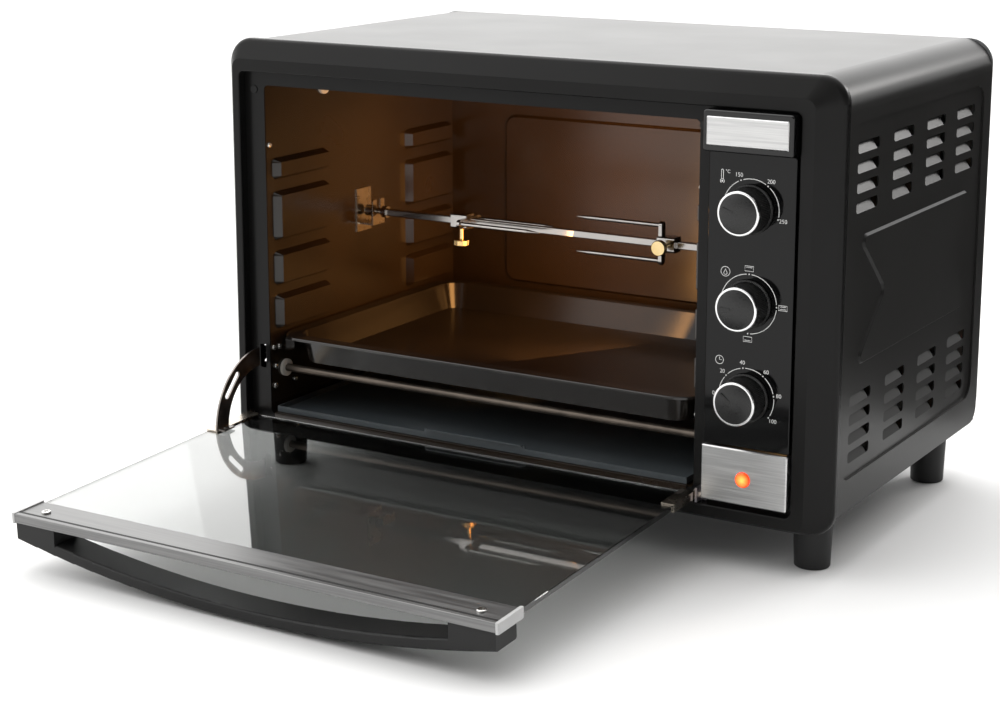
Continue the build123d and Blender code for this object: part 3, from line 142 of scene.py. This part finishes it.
plate_brushed = brushed("brushed_plate", (0.52, 0.52, 0.52), (0.65, 0.65, 0.645), 0.34, 0)
handle_plastic = finish_of("handle_black", (0.016, 0.016, 0.016), (0.021, 0.021, 0.021), 0.42,
                           specular=0.2, grain=2600, depth=0.00003)
foot_plastic = finish_of("foot_black", (0.011, 0.011, 0.011), (0.015, 0.015, 0.015), 0.5,
                         specular=0.35, grain=1800, depth=0.00004)
chrome = finish_of("polished_chrome", (0.34, 0.32, 0.31), (0.42, 0.40, 0.38), 0.16, metallic=1.0,
                   grain=500, depth=0.000006, swing=0.04)
ring_chrome = finish_of("ring_chrome", (0.80, 0.80, 0.80), (0.86, 0.86, 0.86), 0.15, metallic=1.0,
                        grain=900, depth=0.000004, swing=0.03)
nickel = finish_of("nickel_steel", (0.46, 0.40, 0.33), (0.62, 0.56, 0.48), 0.27, metallic=1.0,
                   grain=700, depth=0.00002, blotch=60)
arm_steel = finish_of("stamped_steel", (0.16, 0.145, 0.135), (0.30, 0.27, 0.25), 0.33, metallic=1.0,
                      grain=600, depth=0.00002, blotch=70)
bracket_steel = finish_of("bracket_steel", (0.30, 0.28, 0.30), (0.42, 0.39, 0.42), 0.32, metallic=1.0,
                          grain=600, depth=0.00002, blotch=60)
zinc = finish_of("zinc_sheet", (0.36, 0.365, 0.37), (0.41, 0.415, 0.42), 0.42, metallic=1.0,
                 grain=420, depth=0.00001, blotch=60, swing=0.03)
brass = finish_of("thumbscrew_brass", (0.68, 0.50, 0.24), (0.80, 0.62, 0.33), 0.22, metallic=1.0,
                  grain=900, depth=0.00001, blotch=80)
screw_steel = finish_of("screw_steel", (0.58, 0.57, 0.55), (0.70, 0.69, 0.67), 0.23, metallic=1.0,
                        grain=1200, depth=0.00001, blotch=90)
element_metal = finish_of("element_sheath", (0.10, 0.082, 0.068), (0.17, 0.14, 0.115), 0.42,
                          metallic=0.8, grain=900, depth=0.00003, blotch=40, swing=0.1)
ceramic = finish_of("ceramic_white", (0.72, 0.69, 0.62), (0.80, 0.77, 0.71), 0.55,
                    grain=1100, depth=0.00003)
rail_metal = brushed("rail_aluminium", (0.17, 0.17, 0.17), (0.23, 0.23, 0.228), 0.4, 0, 1800)
cap_plastic = finish_of("rail_cap_grey", (0.44, 0.44, 0.44), (0.52, 0.52, 0.52), 0.36,
                        specular=0.5, grain=1600, depth=0.00001)
seal = finish_of("seal_rubber", (0.009, 0.009, 0.009), (0.013, 0.013, 0.013), 0.62,
                 specular=0.3, grain=1600, depth=0.00003)
motor_metal = brushed("motor_steel", (0.40, 0.40, 0.40), (0.5, 0.5, 0.49), 0.4, 2, 1200)
lamp_plastic = finish_of("lamp_body", (0.70, 0.64, 0.50), (0.78, 0.72, 0.58), 0.5, grain=1400)
print_white = finish_of("dial_print", (0.82, 0.82, 0.81), (0.88, 0.88, 0.87), 0.45,
                        grain=3000, depth=0.000002)


GLASS_WAVES = 22
GLASS_WAVE_DEPTH = 0.000015


def glass(name, tint, ior, roughness):
    """Clear or tinted glass with a very faint waviness."""
    mat, tree, shader = principled(name, tint, roughness)
    shader.inputs["Transmission Weight"].default_value = 1.0
    shader.inputs["IOR"].default_value = ior
    relief(tree, shader, noise(tree, GLASS_WAVES, 1), GLASS_WAVE_DEPTH, 0.5)
    return mat


# the door's index is higher than plain glass has, for the strong mirroring of coated oven glass
door_glass = glass("tinted_door_glass", (0.34, 0.35, 0.345), 1.72, 0.012)
cover_glass = glass("lamp_cover_glass", (0.95, 0.86, 0.66), 1.47, 0.05)
bulb_glass = glass("bulb_glass", (1.0, 0.86, 0.6), 1.47, 0.12)
bulb_shader = bulb_glass.node_tree.nodes["Principled BSDF"]
bulb_shader.inputs["Emission Color"].default_value = (1.0, 0.58, 0.24, 1)
bulb_shader.inputs["Emission Strength"].default_value = 0.25


LENS_FACETS = 420
LENS_FACET_DEPTH = 0.0006


def glowing_lens():
    """The pilot lens: yellow at its middle, orange red at its edge, and finely faceted."""
    low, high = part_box("pilot_lens")
    centre = (low + high) / 2
    mat, tree, shader = principled("pilot_lens_amber", (0.75, 0.12, 0.02), 0.12)
    place = tree.nodes.new("ShaderNodeTexCoord")
    offset = tree.nodes.new("ShaderNodeVectorMath")
    offset.operation = "DISTANCE"
    offset.inputs[1].default_value = (centre.x, low.y, centre.z)
    tree.links.new(place.outputs["Object"], offset.inputs[0])
    reach = tree.nodes.new("ShaderNodeMapRange")
    reach.inputs["From Max"].default_value = (high.x - low.x) / 2
    tree.links.new(offset.outputs["Value"], reach.inputs["Value"])
    ramp = tree.nodes.new("ShaderNodeValToRGB")
    ramp.color_ramp.elements[0].color = (1.0, 0.55, 0.10, 1)
    ramp.color_ramp.elements[1].position = 0.7
    ramp.color_ramp.elements[1].color = (0.85, 0.06, 0.008, 1)
    tree.links.new(reach.outputs["Result"], ramp.inputs["Fac"])
    tree.links.new(ramp.outputs["Color"], shader.inputs["Base Color"])
    tree.links.new(ramp.outputs["Color"], shader.inputs["Emission Color"])
    shader.inputs["Emission Strength"].default_value = 0.9
    facets = tree.nodes.new("ShaderNodeTexVoronoi")
    facets.inputs["Scale"].default_value = LENS_FACETS
    tree.links.new(place.outputs["Object"], facets.inputs["Vector"])
    relief(tree, shader, facets.outputs["Distance"], LENS_FACET_DEPTH)
    return mat


KNURLS = 84
KNURL_DEPTH = 0.0006
FACE_RADIUS = 0.0164  # inside this radius a knob's face is smooth


def maths(tree, operation, first, second=None):
    """A Math node; second may be a number or another node's output."""
    node = tree.nodes.new("ShaderNodeMath")
    node.operation = operation
    tree.links.new(first, node.inputs[0])
    if isinstance(second, (int, float)):
        node.inputs[1].default_value = second
    elif second is not None:
        tree.links.new(second, node.inputs[1])
    return node.outputs[0]


def knurled(node_name):
    """Black plastic with fine ribs round the knob's skirt and a smooth face."""
    low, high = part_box(node_name)
    mat, tree, shader = principled(f"{node_name}_plastic", (0.010, 0.010, 0.010), 0.3, specular=0.45)
    place = tree.nodes.new("ShaderNodeTexCoord")
    centred = tree.nodes.new("ShaderNodeVectorMath")
    centred.operation = "SUBTRACT"
    centred.inputs[1].default_value = (low + high) / 2
    tree.links.new(place.outputs["Object"], centred.inputs[0])
    split = tree.nodes.new("ShaderNodeSeparateXYZ")
    tree.links.new(centred.outputs["Vector"], split.inputs["Vector"])
    turn = maths(tree, "ARCTAN2", split.outputs["X"], split.outputs["Z"])
    ribs = maths(tree, "SINE", maths(tree, "MULTIPLY", turn, KNURLS))
    across = maths(tree, "MULTIPLY", split.outputs["X"], split.outputs["X"])
    upward = maths(tree, "MULTIPLY", split.outputs["Z"], split.outputs["Z"])
    radius = maths(tree, "SQRT", maths(tree, "ADD", across, upward))
    skirt = maths(tree, "GREATER_THAN", radius, FACE_RADIUS)
    relief(tree, shader, maths(tree, "MULTIPLY", ribs, skirt), KNURL_DEPTH / 2)
    wander = noise(tree, 900, 2)
    two_tone(tree, shader, wander, (0.008, 0.008, 0.008), (0.012, 0.012, 0.012))
    tree.links.new(spread(tree, wander, 0.26, 0.34), shader.inputs["Roughness"])
    return mat


FINISHES = {
    paint: ["outer_shell", "base_plate"],
    frame_paint: ["front_frame"],
    zinc: ["rear_panel"],
    enamel: [
        "cavity_back", "cavity_ceiling", "cavity_floor", "cavity_left_wall", "cavity_right_wall",
    ],
    tray_enamel: ["baking_tray"],
    crumb_enamel: ["crumb_tray"],
    fascia_gloss: ["control_fascia"],
    block_gloss: ["upper_block"],
    plate_brushed: ["lower_plate", "upper_plate"],
    knurled("temperature_knob"): ["temperature_knob"],
    knurled("function_knob"): ["function_knob"],
    knurled("timer_knob"): ["timer_knob"],
    ring_chrome: ["temperature_knob_ring", "function_knob_ring", "timer_knob_ring"],
    handle_plastic: ["handle"],
    foot_plastic: ["feet", "cord_gland"],
    door_glass: ["door_glass"],
    cover_glass: ["bulb_cover"],
    bulb_glass: ["oven_bulb"],
    rail_metal: ["trim_rail"],
    cap_plastic: ["rail_end_caps"],
    seal: ["rail_seal", "door_bumpers"],
    nickel: ["left_hinge_clip", "right_hinge_clip", "hinge_pins", "spit_rest", "fan_grille"],
    arm_steel: ["stay_arm", "fan_impeller"],
    bracket_steel: ["right_hinge_bracket"],
    chrome: ["spit_rod", "drive_socket", "left_fork", "right_fork"],
    brass: ["left_thumbscrew", "right_thumbscrew"],
    screw_steel: [
        "housing_screws", "door_fasteners", "temperature_spindle", "function_spindle", "timer_spindle",
    ],
    element_metal: ["heating_elements"],
    ceramic: ["element_insulators"],
    motor_metal: ["fan_motor", "rotisserie_motor", "thermostat", "timer", "function_switch"],
    glowing_lens(): ["pilot_lens"],
    lamp_plastic: ["pilot_lamp"],
}
for material, names in FINISHES.items():
    for name in names:
        slots = nodes[name].data.materials
        slots.clear()
        slots.append(material)


# ---------------------------------------------------------------- dial markings
PRINT_LIFT = 0.00004  # the printed marks stand this far in front of the fascia
NUMBER_SIZE = 0.0043
RING_RADIUS = 0.0223  # of the line round each knob
NUMBER_RADIUS = RING_RADIUS + 0.0042
LINE = 0.00058
ICON_LINE = 0.00042
STOP_DOT = 0.0006
STOP_GAP = 5  # degrees left open in the line on each side of a stop
ARC_STEP = 4  # degrees between the points of an arc
ROUND_STEPS = 20  # corners of a dot and of the flame
face_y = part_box("control_fascia")[0].y


class Marks:
    """Printed marks on the fascia, gathered into one mesh; u runs right and v up from a centre."""

    def __init__(self, name, centre):
        self.name = name
        self.centre = centre
        self.bm = bmesh.new()

    def ribbon(self, points, width, closed=False):
        """A flat line of even width through the points."""
        count = len(points)
        sides = []
        for i, point in enumerate(points):
            before = points[i - 1] if i or closed else point
            after = points[(i + 1) % count] if i < count - 1 or closed else point
            run = Vector(after) - Vector(before)
            across = Vector((-run.y, run.x)).normalized() * width / 2
            edges = (Vector(point) + across, Vector(point) - across)
            sides.append([self.bm.verts.new(self.at(*edge)) for edge in edges])
        joins = count if closed else count - 1
        for i in range(joins):
            first, second = sides[i], sides[(i + 1) % count]
            self.bm.faces.new((first[0], first[1], second[1], second[0]))

    def at(self, u, v):
        """A place on the fascia in the scene's own axes."""
        return (self.centre[0] + u, face_y - PRINT_LIFT, self.centre[1] + v)

    def arc(self, start, end, radius=RING_RADIUS, origin=(0, 0), width=LINE):
        """An arc between two angles, clockwise from the top, in degrees."""
        steps = max(3, int(abs(end - start) / ARC_STEP))
        places = []
        for i in range(steps + 1):
            t = math.radians(start + (end - start) * i / steps)
            places.append((origin[0] + radius * math.sin(t), origin[1] + radius * math.cos(t)))
        self.ribbon(places, width)

    def disc(self, u, v, radius):
        """A filled dot."""
        corners = []
        for t in reversed([math.tau * i / ROUND_STEPS for i in range(ROUND_STEPS)]):
            place = self.at(u + radius * math.cos(t), v + radius * math.sin(t))
            corners.append(self.bm.verts.new(place))
        self.bm.faces.new(corners)

    def number(self, text, angle):
        """A number outside the ring, at an angle clockwise from the top."""
        t = math.radians(angle)
        self.word(text, NUMBER_RADIUS * math.sin(t), NUMBER_RADIUS * math.cos(t), NUMBER_SIZE)

    def word(self, text, u, v, size):
        """Flat lettering centred on a place."""
        curve = bpy.data.curves.new("mark", "FONT")
        curve.body = text
        curve.size = size
        curve.align_x = "CENTER"
        curve.align_y = "CENTER"
        holder = bpy.data.objects.new("mark", curve)
        bpy.context.scene.collection.objects.link(holder)
        bpy.context.view_layer.update()
        drawn = holder.evaluated_get(bpy.context.evaluated_depsgraph_get())
        mesh = bpy.data.meshes.new_from_object(drawn)
        upright = Matrix.Rotation(math.pi / 2, 4, "X")
        mesh.transform(Matrix.Translation(Vector(self.at(u, v))) @ upright)
        self.bm.from_mesh(mesh)
        bpy.data.objects.remove(holder)
        bpy.data.curves.remove(curve)
        bpy.data.meshes.remove(mesh)

    def done(self):
        """Turns all marks to face the front and makes them a piece of the housing."""
        mesh = bpy.data.meshes.new(self.name)
        self.bm.normal_update()
        for face in self.bm.faces:
            if face.normal.y > 0:
                face.normal_flip()
        self.bm.to_mesh(mesh)
        self.bm.free()
        piece = bpy.data.objects.new(self.name, mesh)
        bpy.context.scene.collection.objects.link(piece)
        mesh.materials.append(print_white)
        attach(piece, "housing")


def dial_centre(node):
    """The middle of a knob ring, as x and z."""
    low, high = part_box(node)
    return ((low.x + high.x) / 2, (low.z + high.z) / 2)


def scale_marks(marks, stops, labels, ends):
    """Arcs between the stops of a dial, with a dot and a number at each stop."""
    edges = [ends[0], *stops, ends[1]]
    for first, second in zip(edges[:-1], edges[1:]):
        if second - first > 2 * STOP_GAP:
            marks.arc(first + STOP_GAP, second - STOP_GAP)
    for stop, label in zip(stops, labels):
        t = math.radians(stop)
        marks.disc(RING_RADIUS * math.sin(t), RING_RADIUS * math.cos(t), STOP_DOT)
        if label:
            marks.number(label, stop)


temperature = Marks("temperature_marks", dial_centre("temperature_knob_ring"))
scale_marks(temperature, (-90, -22, 36, 105), ("", "150", "200", "250"), (-90, 110))
STEM_U, STEM_V = -0.0232, 0.0232  # the thermometer's stem
STEM_RADIUS = 0.0008
STEM_LOW, STEM_TOP = STEM_V - 0.0029, STEM_V + 0.0036
BULB_V, BULB_RADIUS = STEM_V - 0.0042, 0.0016
UNIT_SIZE = 0.0036
temperature.arc(-150, 150, BULB_RADIUS, (STEM_U, BULB_V), ICON_LINE)
temperature.disc(STEM_U, BULB_V, BULB_RADIUS / 2)
for side in (-1, 1):
    wall_u = STEM_U + side * STEM_RADIUS
    temperature.ribbon([(wall_u, STEM_LOW), (wall_u, STEM_TOP)], ICON_LINE)
temperature.arc(-90, 90, STEM_RADIUS, (STEM_U, STEM_TOP), ICON_LINE)
temperature.word("°C", STEM_U + 0.0044, STEM_V + 0.0030, UNIT_SIZE)
temperature.done()

function = Marks("function_marks", dial_centre("function_knob_ring"))
scale_marks(function, (-90, 0, 90, 180), ("", "", "", ""), (-90, 185))
ICONS = ((0, 1, 0), (90, 1, 1), (180, 0, 1))  # angle, upper element on, lower element on
ICON_HALF_U, ICON_HALF_V = 0.0034, 0.0019
ICON_SIDE_RADIUS = RING_RADIUS + 0.005  # the icon at the side stands a little further out
WAVE_V = 0.0009  # height of a wavy element line over or under the icon's middle
WAVE_HALF_U, WAVE_STEP, WAVE_RISE, WAVE_POINTS = 0.0024, 0.0006, 0.0003, 9
for angle, upper, lower in ICONS:
    t = math.radians(angle)
    u, v = ICON_SIDE_RADIUS * math.sin(t), NUMBER_RADIUS * math.cos(t)
    corners = ((-1, -1), (1, -1), (1, 1), (-1, 1))
    outline = [(u + a * ICON_HALF_U, v + b * ICON_HALF_V) for a, b in corners]
    function.ribbon(outline, ICON_LINE, closed=True)
    for shown, height in ((upper, WAVE_V), (lower, -WAVE_V)):
        if shown:
            wave = []
            for i in range(WAVE_POINTS):
                wave.append((u - WAVE_HALF_U + WAVE_STEP * i, v + height + WAVE_RISE * (-1) ** i))
            function.ribbon(wave, ICON_LINE)
FLAME_U, FLAME_V = -0.0190, 0.0225
FLAME_RING = 0.0036
FLAME_HALF_WIDTH, FLAME_HALF_HEIGHT, FLAME_DROP = 0.00104, 0.0021, 0.0002
function.arc(-180, 180, FLAME_RING, (FLAME_U, FLAME_V), ICON_LINE)
flame = []
for i in range(ROUND_STEPS):
    t = math.tau * i / ROUND_STEPS
    flame.append((
        FLAME_U + FLAME_HALF_WIDTH * math.sin(t) * (1 + math.cos(t)),
        FLAME_V - FLAME_DROP - FLAME_HALF_HEIGHT * math.cos(t),
    ))
function.ribbon(flame, ICON_LINE, closed=True)
function.done()

timer = Marks("timer_marks", dial_centre("timer_knob_ring"))
MINUTES = ("0", "20", "40", "60", "80", "100")
scale_marks(timer, (-90, -48, -8, 36, 80, 125), MINUTES, (-90, 130))
CLOCK_U, CLOCK_V = -0.0222, 0.0262
CLOCK_RADIUS, LONG_HAND, SHORT_HAND = 0.0032, 0.0022, 0.0018
timer.arc(-180, 180, CLOCK_RADIUS, (CLOCK_U, CLOCK_V), ICON_LINE)
hands = [(CLOCK_U, CLOCK_V + LONG_HAND), (CLOCK_U, CLOCK_V), (CLOCK_U + SHORT_HAND, CLOCK_V)]
timer.ribbon(hands, ICON_LINE)
timer.done()


# ---------------------------------------------------------------- floor, light and camera
def lamp(name, place, aim, energy, size, colour=(1, 1, 1)):
    """A rectangular area light that the camera doesn't see, aimed at a point."""
    data = bpy.data.lights.new(name, "AREA")
    data.energy = energy
    data.color = colour
    data.shape = "RECTANGLE"
    data.size, data.size_y = size
    holder = bpy.data.objects.new(name, data)
    bpy.context.scene.collection.objects.link(holder)
    holder.location = place
    holder.rotation_euler = (Vector(aim) - Vector(place)).to_track_quat("-Z", "Y").to_euler()
    holder.visible_camera = False
    return holder


FLOOR_REACH = 30
FLOOR_Z = -0.0002  # just under the soles
floor_mesh = bpy.data.meshes.new("studio_floor")
floor_signs = ((-1, -1), (1, -1), (1, 1), (-1, 1))
floor_corners = [(a * FLOOR_REACH, b * FLOOR_REACH, FLOOR_Z) for a, b in floor_signs]
floor_mesh.from_pydata(floor_corners, [], [(0, 1, 2, 3)])
floor = bpy.data.objects.new("studio_floor", floor_mesh)
bpy.context.scene.collection.objects.link(floor)
floor_mesh.materials.append(principled("pale_floor", (0.86, 0.86, 0.86), 1.0, specular=0.0)[0])

# a dark studio card to the right, seen only in reflections: it lies on the floor and stands up
# at the back, and it keeps the right side wall from mirroring the white floor
CARD_NEAR_X, CARD_FAR_X = 0.33, 4.0
CARD_Z = 0.001
card_corners = [
    (CARD_NEAR_X, 0.3, CARD_Z), (CARD_FAR_X, -0.6, CARD_Z), (CARD_FAR_X, 3.2, CARD_Z),
    (CARD_NEAR_X, 1.6, CARD_Z), (CARD_FAR_X, 3.2, 0.75), (CARD_NEAR_X, 1.6, 0.42),
]
card_mesh = bpy.data.meshes.new("dark_card")
card_mesh.from_pydata(card_corners, [], [(0, 1, 2, 3), (3, 2, 4, 5)])
card = bpy.data.objects.new("dark_card", card_mesh)
bpy.context.scene.collection.objects.link(card)
card_mesh.materials.append(principled("card_black", (0.01, 0.01, 0.01), 1.0, specular=0.0)[0])
card.visible_camera = card.visible_diffuse = False
card.visible_shadow = card.visible_transmission = False

# the surroundings are brightest high up on the far left and dim towards the front right
BRIGHT_SIDE = (-0.72, 0.42, 0.55)
GLOW_FROM = (-0.35, 0.75)  # cosine of the angle to the bright side
GLOW_TO = (0.07, 2.3)
world = bpy.data.worlds.new("studio")
bpy.context.scene.world = world
world.use_nodes = True
sky = world.node_tree
background = sky.nodes["Background"]
direction = sky.nodes.new("ShaderNodeTexCoord")
facing = sky.nodes.new("ShaderNodeVectorMath")
facing.operation = "DOT_PRODUCT"
facing.inputs[1].default_value = Vector(BRIGHT_SIDE).normalized()
sky.links.new(direction.outputs["Generated"], facing.inputs[0])
glow = sky.nodes.new("ShaderNodeMapRange")
glow.inputs["From Min"].default_value, glow.inputs["From Max"].default_value = GLOW_FROM
glow.inputs["To Min"].default_value, glow.inputs["To Max"].default_value = GLOW_TO
sky.links.new(facing.outputs["Value"], glow.inputs["Value"])
sky.links.new(glow.outputs["Result"], background.inputs["Strength"])
background.inputs["Color"].default_value = (1.0, 0.995, 0.985, 1)

lamp("top_softbox", (-0.4, 0.5, 2.4), (0, 0, 0.2), 12, (2.0, 1.6))
left_light = lamp("left_softbox", (-2.6, 1.6, 1.5), (-0.1, 0, 0.35), 14, (1.2, 1.6))
left_light.visible_glossy = False
# this one is mirrored in the louvre tongues of the right side wall
SOFT_WHITE = (1.0, 0.98, 0.96)
lamp("right_rear_softbox", (1.2, 2.16, 1.3), (0.27, 0, 0.2), 11, (0.6, 0.6), SOFT_WHITE)
lamp("front_fill", (-1.5, -2.2, 1.5), (0, -0.2, 0.15), 5, (1.2, 1.2))

# the warm light of the heating elements and the oven lamp inside the cavity
WARM = (1.0, 0.47, 0.14)
upper_glow = lamp(
    "cavity_glow_upper", (-0.08, 0.05, 0.320), (-0.12, 0.12, 0.12), 0.55, (0.26, 0.16), WARM
)
upper_glow.visible_glossy = False
lamp("cavity_glow_corner", (-0.02, 0.0, 0.19), (-0.235, 0.135, 0.24), 0.8, (0.12, 0.2), WARM)

YAW, PITCH = math.radians(31.34), math.radians(12.16)
CAMERA_PLACE = (0.8224, -1.5263, 0.5465)
SENSOR_WIDTH, FOCAL_LENGTH = 36, 74.88  # millimetres
LENS_SHIFT = -0.08
camera_data = bpy.data.cameras.new("photo_camera")
camera_data.sensor_width = SENSOR_WIDTH
camera_data.lens = FOCAL_LENGTH
camera_data.shift_y = LENS_SHIFT
camera = bpy.data.objects.new("photo_camera", camera_data)
bpy.context.scene.collection.objects.link(camera)
camera.location = CAMERA_PLACE
camera.rotation_euler = (math.pi / 2 - PITCH, 0, YAW)
bpy.context.scene.camera = camera
bpy.context.scene.view_settings.view_transform = "Standard"
